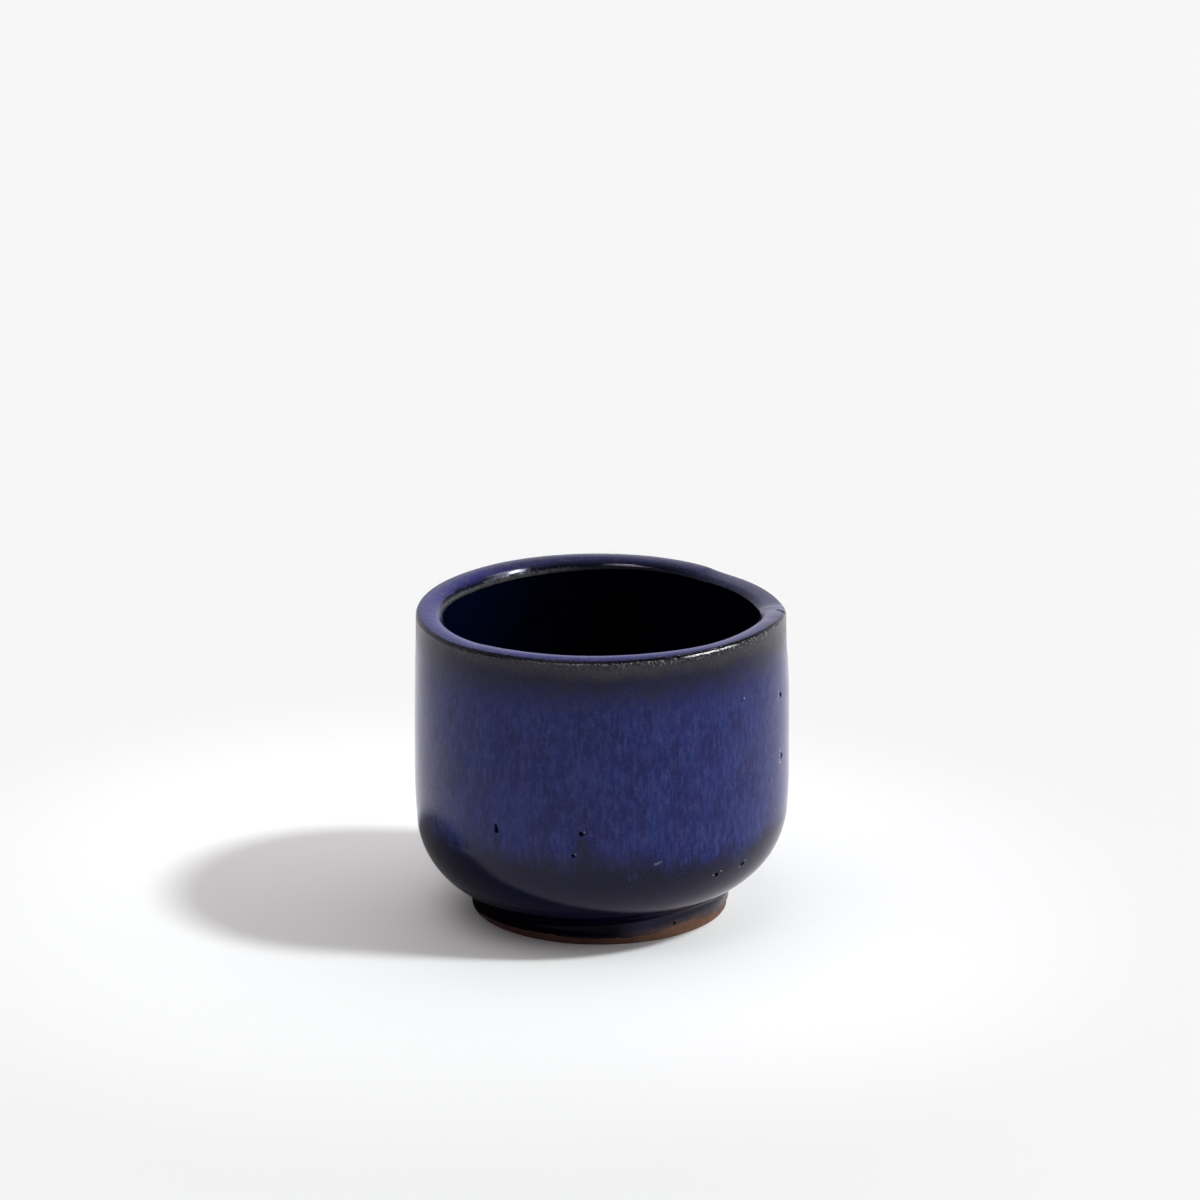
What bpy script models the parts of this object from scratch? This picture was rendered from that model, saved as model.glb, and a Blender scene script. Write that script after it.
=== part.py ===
"""A handleless stoneware coffee cup: thrown clay, a turned foot ring, and the glaze coats fused over them.

Units are metres and +Z is up. The origin is the centre of the foot, on the surface that the cup stands on,
so the cup's axis is Z. Every piece is a turned form: an outline of (radius, height) points spun round Z.
"""

from math import acos, cos, degrees, pi, radians, sin, sqrt

import bmesh
import bpy
from mathutils import Vector

# Overall form, measured over the glaze
CUP_HEIGHT = 0.0625
CUP_DIAMETER = 0.0750

# Clay
WALL_THICKNESS = 0.0040
FLOOR_THICKNESS = 0.0045
BELLY_RADIUS = 0.0167
INNER_TURN_RADIUS = 0.0120
LIP_OUTER_ROUND = 0.0008
LIP_INNER_ROUND = 0.0014
FOOT_DIAMETER = 0.0512
FOOT_WIDTH = 0.0048
FOOT_RECESS = 0.0040
FOOT_EDGE_ROUND = 0.0006

# Glaze coats
BASE_COAT = 0.0004
BLUE_COAT = 0.0003
LIP_COAT = 0.0005
LINER_COAT = 0.0004
LIP_SKIRT_OUTSIDE = 0.0010
LIP_SKIRT_INSIDE = 0.0020
BARE_FOOT_HEIGHT = 0.0019
BLUE_TOP_DROP = 0.0052
BLUE_TURN_DEGREES = 8.0
BLUE_EDGE = 0.0001
BLUE_FEATHER = 0.0025

# Room left between a coat and what it covers
COAT_GAP = 0.00015

# Facets
TURN_STEPS = 48
ROUND_STEPS = 3
BELLY_STEP_DEGREES = 9.0

# Shared places that follow from the sizes above
CLAY_RADIUS = CUP_DIAMETER / 2 - 2 * COAT_GAP - BASE_COAT - BLUE_COAT
CLAY_INNER_RADIUS = CLAY_RADIUS - WALL_THICKNESS
CLAY_TOP = CUP_HEIGHT - LIP_COAT - COAT_GAP
BELLY_CENTRE = (CLAY_RADIUS - BELLY_RADIUS, FOOT_RECESS + BELLY_RADIUS)
FLOOR_TOP = FOOT_RECESS + FLOOR_THICKNESS
INNER_TURN_CENTRE = (CLAY_INNER_RADIUS - INNER_TURN_RADIUS, FLOOR_TOP + INNER_TURN_RADIUS)
LIP_OUTER_CENTRE = (CLAY_RADIUS - LIP_OUTER_ROUND, CLAY_TOP - LIP_OUTER_ROUND)
LIP_INNER_CENTRE = (CLAY_INNER_RADIUS + LIP_INNER_ROUND, CLAY_TOP - LIP_INNER_ROUND)
FOOT_RADIUS = FOOT_DIAMETER / 2
FOOT_INNER_RADIUS = FOOT_RADIUS - FOOT_WIDTH
LIP_SKIRT_OUTER_END = CLAY_TOP - LIP_OUTER_ROUND - LIP_SKIRT_OUTSIDE
LIP_SKIRT_INNER_END = CLAY_TOP - LIP_INNER_ROUND - LIP_SKIRT_INSIDE


def arc(centre, radius, start, end, steps):
    """Points of an arc round centre, from one angle to another in degrees; 0 points out and 90 points up."""
    points = []
    for step in range(steps + 1):
        angle = radians(start + (end - start) * step / steps)
        points.append((centre[0] + radius * cos(angle), centre[1] + radius * sin(angle)))
    return points


def belly_arc(radius, end):
    """The belly at one radius, from the wall down to an angle below it, in degrees."""
    steps = max(2, round(end / BELLY_STEP_DEGREES))
    return arc(BELLY_CENTRE, radius, 0, -end, steps)


def belly_angle_at(radius, cup_radius):
    """The angle below the wall, in degrees, at which a belly of this radius comes in to cup_radius."""
    return degrees(acos((cup_radius - BELLY_CENTRE[0]) / radius))


def underside_height(cup_radius, gap):
    """The height of the clay's underside at a radius of the cup, less a gap."""
    reach = max(0.0, cup_radius - BELLY_CENTRE[0])
    return BELLY_CENTRE[1] - sqrt((BELLY_RADIUS + gap) ** 2 - reach**2)


def glaze_material(name, colour, roughness):
    material = bpy.data.materials.new(name)
    material.use_nodes = True
    shader = material.node_tree.nodes["Principled BSDF"]
    shader.inputs["Base Color"].default_value = (*colour, 1.0)
    shader.inputs["Roughness"].default_value = roughness
    shader.inputs["Metallic"].default_value = 0.0
    return material


def turned(name, outline, closed, material, parent):
    """Spins an outline round Z into a solid. An outline that isn't closed starts and ends on the axis."""
    mesh = bpy.data.meshes.new(name)
    form = bmesh.new()
    corners = [form.verts.new((radius, 0.0, height)) for radius, height in outline]
    pairs = list(zip(corners, corners[1:]))
    if closed:
        pairs.append((corners[-1], corners[0]))
    edges = [form.edges.new(pair) for pair in pairs]
    bmesh.ops.spin(
        form,
        geom=corners + edges,
        cent=Vector((0, 0, 0)),
        axis=Vector((0, 0, 1)),
        angle=2 * pi,
        steps=TURN_STEPS,
        use_merge=True,
    )
    bmesh.ops.remove_doubles(form, verts=form.verts, dist=1e-6)
    bmesh.ops.recalc_face_normals(form, faces=form.faces)
    form.to_mesh(mesh)
    form.free()
    mesh.shade_smooth()
    mesh.set_sharp_from_angle(angle=radians(40))
    mesh.materials.append(material)
    piece = bpy.data.objects.new(name, mesh)
    piece.parent = parent
    bpy.context.scene.collection.objects.link(piece)
    return piece


def lip_round(offset):
    """The lip's section at an offset from the clay: inner round, flat top, outer round."""
    inner = arc(LIP_INNER_CENTRE, LIP_INNER_ROUND + offset, 180, 90, ROUND_STEPS)
    outer = arc(LIP_OUTER_CENTRE, LIP_OUTER_ROUND + offset, 90, 0, ROUND_STEPS)
    return inner + outer


def inside_curve(offset):
    """The inside of the cup at an offset in from the clay: floor centre, turn, and the foot of the wall."""
    turn_steps = round(90 / BELLY_STEP_DEGREES)
    turn = arc(INNER_TURN_CENTRE, INNER_TURN_RADIUS - offset, -90, 0, turn_steps)
    return [(0.0, FLOOR_TOP + offset)] + turn


def make_thrown_body(clay, parent):
    """The thrown clay: the floor, the wall and the lip, in one piece."""
    outline = inside_curve(0.0) + lip_round(0.0)
    outline += belly_arc(BELLY_RADIUS, 90)
    outline.append((0.0, FOOT_RECESS))
    return turned("thrown_body", outline, False, clay, parent)


def make_foot_ring(clay, parent):
    """The turned ring that the cup stands on. Its top follows the clay above it."""
    outer_top = FOOT_RADIUS
    steps = 6
    top = []
    for step in range(steps + 1):
        radius = FOOT_INNER_RADIUS + (outer_top - FOOT_INNER_RADIUS) * step / steps
        top.append((radius, underside_height(radius, COAT_GAP)))
    outer_centre = (FOOT_RADIUS - FOOT_EDGE_ROUND, FOOT_EDGE_ROUND)
    inner_centre = (FOOT_INNER_RADIUS + FOOT_EDGE_ROUND, FOOT_EDGE_ROUND)
    outline = top
    outline += arc(outer_centre, FOOT_EDGE_ROUND, 0, -90, ROUND_STEPS)
    outline += arc(inner_centre, FOOT_EDGE_ROUND, -90, -180, ROUND_STEPS)
    return turned("foot_ring", outline, True, clay, parent)


def base_coat_face(offset):
    """One face of the base coat, top to bottom: the wall, the belly, and down the foot ring."""
    belly_radius = BELLY_RADIUS + offset
    foot_radius = FOOT_RADIUS + offset
    top = (CLAY_RADIUS + offset, LIP_SKIRT_OUTER_END - COAT_GAP)
    belly = belly_arc(belly_radius, belly_angle_at(belly_radius, foot_radius))
    return [top] + belly + [(foot_radius, BARE_FOOT_HEIGHT)]


def make_base_glaze(glaze, parent):
    """The dark first coat on the outside, from the lip's edge to the glaze line on the foot."""
    outside = base_coat_face(COAT_GAP + BASE_COAT)
    inside = base_coat_face(COAT_GAP)
    return turned("base_glaze", outside + inside[::-1], True, glaze, parent)


def make_blue_glaze(glaze, parent):
    """The streaked blue coat dipped over the first one, on the straight wall and the start of the belly.

    It thins to a feathered edge at its top and at its bottom.
    """
    under = 2 * COAT_GAP + BASE_COAT
    top = CUP_HEIGHT - BLUE_TOP_DROP
    inside = [(CLAY_RADIUS + under, top)] + belly_arc(BELLY_RADIUS + under, BLUE_TURN_DEGREES)
    outside = [
        (CLAY_RADIUS + under + BLUE_EDGE, top),
        (CLAY_RADIUS + under + BLUE_COAT, top - BLUE_FEATHER),
    ]
    outside += belly_arc(BELLY_RADIUS + under + BLUE_COAT, BLUE_TURN_DEGREES)[:-1]
    outside.append(belly_arc(BELLY_RADIUS + under + BLUE_EDGE, BLUE_TURN_DEGREES)[-1])
    return turned("blue_glaze", outside + inside[::-1], True, glaze, parent)


def make_lip_glaze(glaze, parent):
    """The coat that caps the lip, parted from the coats below it where the glaze breaks at the edges."""
    faces = []
    for offset in (COAT_GAP + LIP_COAT, COAT_GAP):
        inner_end = (CLAY_INNER_RADIUS - offset, LIP_SKIRT_INNER_END)
        outer_end = (CLAY_RADIUS + offset, LIP_SKIRT_OUTER_END)
        faces.append([inner_end] + lip_round(offset) + [outer_end])
    outside, inside = faces
    return turned("lip_glaze", outside + inside[::-1], True, glaze, parent)


def make_liner_glaze(glaze, parent):
    """The coat poured inside: a thin skin over the floor and up the wall to the lip's inner edge."""
    faces = []
    for offset in (COAT_GAP + LINER_COAT, COAT_GAP):
        top = (CLAY_INNER_RADIUS - offset, LIP_SKIRT_INNER_END - COAT_GAP)
        faces.append(inside_curve(offset) + [top])
    inside, outside = faces
    return turned("liner_glaze", inside + outside[::-1], False, glaze, parent)


def clear_scene():
    for item in list(bpy.data.objects):
        bpy.data.objects.remove(item)


def main():
    clear_scene()
    cup = bpy.data.objects.new("coffee_cup", None)
    bpy.context.scene.collection.objects.link(cup)

    clay = glaze_material("red_brown_stoneware", (0.17, 0.075, 0.040), 0.85)
    make_thrown_body(clay, cup)
    make_foot_ring(clay, cup)
    make_base_glaze(glaze_material("dark_base_glaze", (0.016, 0.014, 0.020), 0.22), cup)
    make_blue_glaze(glaze_material("streaked_blue_glaze", (0.018, 0.024, 0.105), 0.25), cup)
    make_lip_glaze(glaze_material("violet_lip_glaze", (0.050, 0.050, 0.160), 0.28), cup)
    make_liner_glaze(glaze_material("black_blue_liner_glaze", (0.003, 0.004, 0.014), 0.12), cup)


main()
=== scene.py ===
"""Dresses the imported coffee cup: its clay, its coats of glaze, and a white studio to see it in.

The file is laid out as an add-on and run as a script. Lengths are metres and +Z is up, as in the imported
model.
"""

from math import cos, pi, radians, sin

import bmesh
import bpy
import numpy as np
from bpy.props import FloatProperty, FloatVectorProperty, IntProperty, PointerProperty
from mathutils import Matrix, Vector
from mathutils.kdtree import KDTree


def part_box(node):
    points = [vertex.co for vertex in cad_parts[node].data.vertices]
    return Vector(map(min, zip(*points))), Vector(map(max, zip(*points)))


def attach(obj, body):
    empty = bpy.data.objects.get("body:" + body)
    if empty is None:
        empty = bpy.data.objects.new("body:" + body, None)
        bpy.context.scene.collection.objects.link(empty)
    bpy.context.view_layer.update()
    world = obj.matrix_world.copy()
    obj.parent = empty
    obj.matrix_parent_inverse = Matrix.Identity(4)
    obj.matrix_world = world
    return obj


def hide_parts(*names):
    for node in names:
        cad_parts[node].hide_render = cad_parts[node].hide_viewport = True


bl_info = {
    "name": "Stoneware coffee cup",
    "version": (1, 0, 0),
    "blender": (4, 5, 0),
    "location": "3D View > Sidebar > Cup",
    "description": "Builds a glazed stoneware cup and its studio round the packed model",
    "category": "Object",
}

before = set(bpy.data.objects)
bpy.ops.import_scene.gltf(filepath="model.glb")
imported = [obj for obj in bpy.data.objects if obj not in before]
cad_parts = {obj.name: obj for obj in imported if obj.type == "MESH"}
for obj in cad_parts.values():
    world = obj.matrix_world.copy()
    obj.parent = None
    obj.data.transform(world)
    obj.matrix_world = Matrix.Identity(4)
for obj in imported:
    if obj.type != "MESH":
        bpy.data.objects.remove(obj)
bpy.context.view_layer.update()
IMAGE_SIDE = 1200
SENSOR_WIDTH_MM = 36.0
MM = 0.001

# The rim's height by azimuth, in degrees and millimetres: the thrower's hand left it uneven.
RIM_HEIGHTS = (
    (-180, -0.75), (-146, -0.80), (-130, -0.48), (-115, -0.22), (-93, 0.0), (-71, 0.20), (-50, 0.30),
    (-30, 0.36), (-15, 0.05), (-8, -0.26), (-2, -0.72), (4, -1.12), (14, -1.53), (30, -1.45), (43, -1.40),
    (54, -0.80), (65, -0.42), (80, -0.17), (100, -0.12), (120, -0.22), (140, -0.45), (160, -0.62),
    (180, -0.75),
)
# How far the lip leans in by azimuth, in degrees and degrees.
LIP_LEANS = (
    (-180, 0.0), (-150, -1.0), (-120, -2.0), (-90, -2.0), (-65, 1.0), (-40, 6.0), (-15, 6.0), (15, 1.0),
    (45, 2.0), (80, 0.0), (130, 3.0), (160, 1.0), (180, 0.0),
)
# How much of the drop down the lip's inner bevel is missing by azimuth, in degrees and as a share.
BEVEL_SHARES = (
    (-180, 0.30), (-150, 0.25), (-25, 0.22), (-8, 0.38), (8, 0.54), (25, 0.58), (41, 0.62), (51, 0.44),
    (62, 0.32), (75, 0.24), (86, 0.14), (97, 0.03), (142, 0.02), (160, 0.10), (180, 0.30),
)
# The lowest edge of the blue coat by azimuth, in degrees and millimetres above the table.
BLUE_EDGE_HEIGHTS = (
    (-180, 20.5), (-150, 20.2), (-124, 20.7), (-102, 21.2), (-84, 21.4), (-71, 19.7), (-58, 18.4),
    (-46, 18.8), (-35, 20.3), (0, 20.6), (60, 19.4), (120, 20.9), (180, 20.5),
)
# How far the glaze line on the foot stands above or below its mean by azimuth, in degrees and millimetres.
GLAZE_LINE_HEIGHTS = (
    (-180, -1.30), (-150, -1.50), (-133, -1.50), (-122, -1.10), (-113, -0.90), (-90, -0.80), (-73, -0.70),
    (-65, -0.55), (-57, -0.10), (-48, 0.20), (-38, -0.10), (-30, -0.70), (-20, -0.80), (45, -0.60),
    (90, -0.10), (135, -0.80), (180, -1.30),
)
# Pinholes in the outer glaze: azimuth in degrees, height and radius in millimetres, and share of the full
# depth, which also sets their painted shade. A share below zero is a pale mark in place of a hole, and how
# strong it is; these marks are partly pale flecks and partly painted glints.
PINHOLES = (
    (-123.4, 26.8, 0.36, 1.0), (-123.3, 26.35, 0.44, 1.0), (-123.2, 25.8, 0.56, 1.0),
    (-95.9, 27.2, 0.56, 1.0), (-95.0, 27.6, 0.18, -0.8), (-98.3, 22.55, 0.40, 1.0),
    (-97.7, 22.85, 0.17, -0.8), (-19.0, 47.6, 0.60, 1.0), (-20.4, 48.5, 0.30, -0.5),
    (-20.8, 47.6, 0.36, -0.5), (-20.5, 46.8, 0.24, -0.5), (-18.2, 34.7, 0.60, 1.0),
    (-19.4, 36.0, 0.36, -0.8), (-20.0, 35.2, 0.30, -0.6), (-20.1, 34.4, 0.32, -0.6),
    (-19.7, 33.6, 0.42, -0.9), (-51.1, 15.5, 0.52, 0.9), (-49.5, 16.1, 0.26, -0.6),
    (-52.5, 15.6, 0.28, -0.5), (-39.9, 16.1, 0.50, 1.0), (-38.8, 16.6, 0.22, -0.6),
    (-41.0, 15.5, 0.24, -0.6), (-73.3, 20.35, 0.36, -0.28), (-72.5, 20.5, 0.36, -0.28),
    (-71.7, 20.7, 0.28, -0.2), (-41.2, 50.9, 0.28, -0.5), (-42.2, 50.7, 0.24, 0.5),
    (-56.1, 2.9, 0.40, 0.7), (14.0, 29.0, 0.55, 1.0), (38.0, 44.5, 0.50, 1.0), (39.2, 44.9, 0.22, -0.5),
    (61.0, 18.5, 0.56, 1.0), (96.0, 24.0, 0.58, 1.0), (97.0, 24.5, 0.22, -0.5),
    (118.0, 38.5, 0.50, 1.0), (151.0, 17.5, 0.60, 1.0), (170.0, 30.5, 0.50, 1.0),
)
# Round a pinhole: how far off faces are cut finer, how many times, and how high its rim stands.
PINHOLE_REACH = 0.0013
PINHOLE_CUTS = 5
PINHOLE_RIM = 0.00006
# Below these pinholes the blue has parted from the first coat: azimuth in degrees, height in millimetres.
PARTINGS = ((-123.3, 25.6), (-95.6, 27.0))
# A trail of blue on the belly, by azimuth in degrees and height, and the azimuth of the highlight
# painted on the edge.
TRAIL_DEGREES = -80.3
TRAIL_HEIGHT = 0.0177
PAINTED_GLINT_DEGREES = -54
# A short crease in the coat on the lip: places from above, in millimetres right of and behind the axis, and
# each dent's radius in metres and share of the full depth, which also sets its painted shade.
LIP_CREASE = ((35.25, -1.3), (35.5, -1.8), (35.75, -2.3), (36.0, -2.8), (36.2, -3.3), (36.4, -3.8))
CREASE_RADIUS = 0.00030
CREASE_SHARE = 0.90

# The lip's section from its crest, inwards and outwards: bends that join smoothly, each with its radius in
# metres and the slope's first and last angle below level, in degrees.
LIP_INNER_BENDS = ((0.0058, 0, 17), (0.0013, 17, 40), (0.0050, 40, 54), (0.0016, 54, 90))
LIP_OUTER_BENDS = ((0.0105, 0, 8), (0.00046, 8, 85))
# The radius at which the lip's lean turns, and the depth below the lip's top in which it fades.
CREST_RADIUS = 0.0350
LIP_ZONE = (0.006, 0.002)
# How far in from its widest the wall stands at its top and where the belly starts.
TOP_STAND = 0.00050
BELLY_STAND = 0.00028
# Where the belly's turn ends at the foot, in degrees, and the height at which the foot's wall ends.
BELLY_END = 66.5
FOOT_TOP = 0.0045
# How far the foot sits off the axis forwards, for each part that it sits off sideways.
FOOT_SHIFT_RATIO = 2.6
# Thickness of the glaze on the foot's wall at its top and at the glaze line, and the air behind it.
FOOT_COAT = 0.00036
FOOT_COAT_LOW = 0.00022
FOOT_GAP = 0.00004
# Air between the clay and a coat, the outer coat's drop below the lip's top, and the depth of its specks.
COAT_GAP = 0.00012
COAT_DROP = 0.00058
FRINGE_DEPTH = 0.0016
# The lip's coat as a share of a full coat.
LIP_COAT_SHARE = 0.8
# Radius of the turn inside from the floor to the wall, in the liner and in the clay, and the wall's middle.
LINER_TURN = 0.01145
CLAY_TURN = 0.0120
MID_HEIGHT = 0.040
# Spacing and depth of the rings that turning left underneath, and the rounding of the foot's edges.
TURNING_STEP = 0.0013
TURNING_DEPTH = 0.00007
FOOT_ROUND = 0.0003
# How many steps each piece takes round the axis.
TURN_STEPS = {
    "clay_body": 240,
    "clay_foot": 400,
    "outer_glaze_coat": 400,
    "lip_glaze_coat": 720,
    "liner_glaze_coat": 320,
}
MERGE_DISTANCE = 1e-6
# What a ring of a turned piece carries besides its radius and height.
MARKS = ("wander", "drip", "worn", "pale", "bevel", "seep", "fringe")
# What the hand left uneven in every turned piece, named as in the Turned form tree.
UNEVEN = ("Rim sway", "Belly lean", "Foot shift", "Side swell", "Wall wave", "Lip lean")

# The room's lights: the way to each, right, back and up, and how squarely one faces it where it starts and
# where it is full.
SIDE_LIGHT = ((0.707, 0.707, 0.0), 0.0, 0.8)
FRONT_LIGHT = ((0.0, -1.0, 0.0), 0.3, 0.9)
TOP_LIGHT = ((-0.316, 0.0, 0.949), 0.75, 0.98)
CEILING = ((0.0, -0.25, 1.0), -0.20, 0.72)
PANE = ((0.706, 0.037, 0.707), 0.970, 0.996)
WINDOW = ((-0.254, -0.414, 0.875), 0.988, 0.994)
# The main lamp's distance, and the narrow lamp's distance, the softness of its cone and its aim on the lip.
KEY_DISTANCE = 1.5
LIP_LIGHT_DISTANCE = 1.2
LIP_LIGHT_BLEND = 0.4
LIP_LIGHT_TARGET = (-0.017, 0.028, 0.062)
# Half the floor's side, the cells along it, and the middle of the painted pool of light round the cup.
FLOOR_REACH = 6.0
FLOOR_CELLS = 8
PAINTED_LIGHT_PATCH = (-0.025, -0.005, 0.0)
CAMERA_REACH = 50.0


def amount_prop(name, description, value):
    return FloatProperty(name=name, description=description, default=value)


def length_prop(name, description, value):
    return FloatProperty(name=name, description=description, unit="LENGTH", default=value)


def angle_prop(name, description, degrees):
    return FloatProperty(name=name, description=description, subtype="ANGLE", default=radians(degrees))


def colour_prop(name, description, value):
    return FloatVectorProperty(name=name, description=description, subtype="COLOR", size=3, default=value)


class CupForm(bpy.types.PropertyGroup):
    """The finished cup's main sizes, over the glaze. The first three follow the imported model."""

    height: length_prop("Height", "Table to the top of the lip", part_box("lip_glaze")[1][2])
    wall_radius: length_prop("Wall radius", "Widest part of the wall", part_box("blue_glaze")[1][0])
    foot_radius: length_prop("Foot radius", "Bare clay of the foot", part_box("foot_ring")[1][0] + 0.0003)
    foot_width: length_prop("Foot width", "Width of the foot's ring", 0.0048)
    foot_taper: length_prop("Foot taper", "How much the foot narrows to the table", 0.00015)
    mouth_radius: length_prop("Mouth radius", "Inside of the lip", 0.03185)
    belly_radius: length_prop("Belly radius", "Turn from the wall to the foot", 0.01726)
    belly_height: length_prop("Belly height", "Where the wall starts to turn in", 0.02074)
    coat: length_prop("Coat", "Thickness of a coat of glaze", 0.0005)
    floor_height: length_prop("Floor height", "The inside floor, over its glaze", 0.00905)
    glaze_line: length_prop("Glaze line", "Bare clay left at the foot", 0.0020)


class CupHand(bpy.types.PropertyGroup):
    """What the thrower's and the glazer's hands left uneven."""

    rim_sway: amount_prop("Rim sway", "How much of the rim's unevenness shows", 1.0)
    belly_lean: amount_prop("Belly lean", "Rise of the belly from left to right", 0.031)
    foot_shift: length_prop("Foot shift", "How far the foot sits off the axis", -0.0003)
    side_swell: length_prop("Side swell", "How far the wall swells on the right", 0.0004)
    wall_wave: length_prop("Wall wave", "Soft waves left in the wall", 0.00012)
    lip_lean: amount_prop("Lip lean", "How much of the lip's leaning shows", 1.0)
    pit_depth: length_prop("Pinhole depth", "Depth of a pinhole", 0.00042)
    seed: IntProperty(name="Seed", description="Fixes the wander of the glaze edges", default=7)


class CupGlaze(bpy.types.PropertyGroup):
    """The colours of the clay and of the glazes, in linear light."""

    blue: colour_prop("Blue", "Main colour of the blue coat", (0.0013, 0.0106, 0.099))
    deep_blue: colour_prop("Deep blue", "Between the streaks", (0.0005, 0.0046, 0.063))
    pale_blue: colour_prop("Pale blue", "The brightest streaks", (0.0245, 0.0345, 0.140))
    purple: colour_prop("Purple", "Where the blue turns to purple", (0.0100, 0.0066, 0.096))
    band: colour_prop("Band", "Thin glaze under the lip", (0.0245, 0.0225, 0.0240))
    base: colour_prop("Base", "First coat, on the belly and foot", (0.0006, 0.0006, 0.0145))
    grey: colour_prop("Grey", "Grain in the first coat", (0.0115, 0.0115, 0.0200))
    thin_foot: colour_prop("Thin foot", "Where the glaze thins on the foot", (0.070, 0.046, 0.034))
    lip: colour_prop("Lip", "Coat on the lip", (0.018, 0.019, 0.150))
    lip_pale: colour_prop("Lip pale", "Pale grain in the lip's coat", (0.085, 0.085, 0.212))
    lip_grey: colour_prop("Lip grey", "Where the lip's coat is thin", (0.026, 0.025, 0.060))
    edge: colour_prop("Edge", "Where the glaze breaks to the clay", (0.0030, 0.0028, 0.0030))
    # Also painted glints: the pale marks beside pinholes that stand for highlights.
    speck_and_glint: colour_prop("Speck", "Pale specks and beads in the glaze", (0.380, 0.380, 0.390))
    # A painted highlight: near-white colour where the main light glints on the edge at the front right.
    painted_glint: colour_prop("Glint", "Bare glassy edge at the front right", (0.88, 0.87, 0.84))
    pale_edge: colour_prop("Pale edge", "Line along the lip's inner edge", (0.068, 0.068, 0.066))
    liner: colour_prop("Liner", "Coat inside the cup", (0.0008, 0.0011, 0.0070))
    clay: colour_prop("Clay", "Bare stoneware", (0.172, 0.081, 0.046))
    # Dark clay: iron specks, and the painted shade on the clay's left side.
    dark_clay_and_shade: colour_prop("Dark clay", "Stoneware burnt dark", (0.036, 0.0060, 0.0090))
    # Painted shade in pinholes, the crease, a line in the lip and the foot's left; also the lip's broken
    # edge.
    shade_and_break: colour_prop("Hole", "Inside a pinhole", (0.0004, 0.0004, 0.0005))
    sheen: colour_prop("Sheen", "Tint of the glaze's reflections", (0.82, 0.80, 1.0))


class CupStudio(bpy.types.PropertyGroup):
    """The floor, the light and the camera."""

    floor: colour_prop("Floor", "Colour of the floor and the backdrop", (0.824, 0.824, 0.827))
    # A painted pool of light: the floor is paler round the cup.
    painted_light_floor: colour_prop("Near floor", "Colour of the floor round the cup", (0.985, 0.985, 0.988))
    top_fill: amount_prop("Top fill", "Soft light from above left", 1.20)
    side_fill: amount_prop("Side fill", "Low soft light from behind right", 3.72)
    front_fill: amount_prop("Front fill", "Low soft light from the front", 0.48)
    fill_tint: colour_prop("Fill tint", "Colour of the soft light", (1.03, 0.99, 0.995))
    mirrored_fill: amount_prop("Mirrored fill", "Share of the soft light in what the glaze mirrors", 0.30)
    mirrored_room: colour_prop("Mirrored room", "The room in what the glaze mirrors", (0.80, 0.79, 0.94))
    mirrored_ceiling: colour_prop("Mirrored ceiling", "The ceiling in what it mirrors", (0.10, 0.10, 0.11))
    mirrored_pane: colour_prop("Mirrored pane", "A pane on the right in what it mirrors", (6.0, 6.0, 6.1))
    mirrored_window: colour_prop("Mirrored window", "A window in what it mirrors", (9.0, 7.8, 9.3))
    key: amount_prop("Key", "Strength of the main light", 1.90)
    key_tint: colour_prop("Key tint", "Colour of the main light", (0.955, 1.015, 1.015))
    mirrored_key: colour_prop("Mirrored key", "The main light in what the glaze mirrors", (1.97, 1.92, 2.06))
    key_azimuth: angle_prop("Key azimuth", "Where the main light stands", -7)
    key_elevation: angle_prop("Key elevation", "How high the main light stands", 50)
    key_spread: angle_prop("Key spread", "Width of the main light", 7.0)
    lip_light: amount_prop("Lip light", "Strength of the narrow light on the lip", 150.0)
    lip_light_tint: colour_prop("Lip light tint", "Colour of the narrow light", (0.05, 0.05, 0.05))
    mirrored_lip_light: colour_prop("Mirrored lip light", "It in what the glaze mirrors", (1.0, 0.93, 0.96))
    lip_light_azimuth: angle_prop("Lip light azimuth", "Where the narrow light stands", -129.5)
    lip_light_elevation: angle_prop("Lip light elevation", "How high the narrow light stands", 68)
    lip_light_spread: angle_prop("Lip light spread", "Width of the narrow light's cone", 3.0)
    lip_light_size: length_prop("Lip light size", "Radius of the narrow light", 0.178)
    camera_distance: length_prop("Camera distance", "Camera to target", 1.05)
    camera_pitch: angle_prop("Camera pitch", "How far the camera looks down", 17.11)
    target_height: length_prop("Target height", "Height at the picture's centre", 0.06346)
    pixels_per_mm: amount_prop("Pixels per mm", "Picture scale at the target", 5.008)
    side_step: length_prop("Side step", "Sets the cup off the picture's centre", -0.0002)


class Wire:
    """An output socket whose arithmetic adds Math nodes to its tree."""

    def __init__(self, web, socket):
        self.web = web
        self.socket = socket

    def output(self, name):
        return Wire(self.web, self.socket.node.outputs[name])

    def stir(self, noise, amount):
        """Adds a noise, which swings about a half, times an amount."""
        return self + (noise - 0.5) * amount

    def __add__(self, other):
        return self.web.math("ADD", self, other)

    def __radd__(self, other):
        return self.web.math("ADD", other, self)

    def __sub__(self, other):
        return self.web.math("SUBTRACT", self, other)

    def __rsub__(self, other):
        return self.web.math("SUBTRACT", other, self)

    def __mul__(self, other):
        return self.web.math("MULTIPLY", self, other)

    def __rmul__(self, other):
        return self.web.math("MULTIPLY", other, self)

    def __truediv__(self, other):
        return self.web.math("DIVIDE", self, other)

    def __mod__(self, other):
        return self.web.math("MODULO", self, other)

    def __abs__(self):
        return self.web.math("ABSOLUTE", self)


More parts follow.
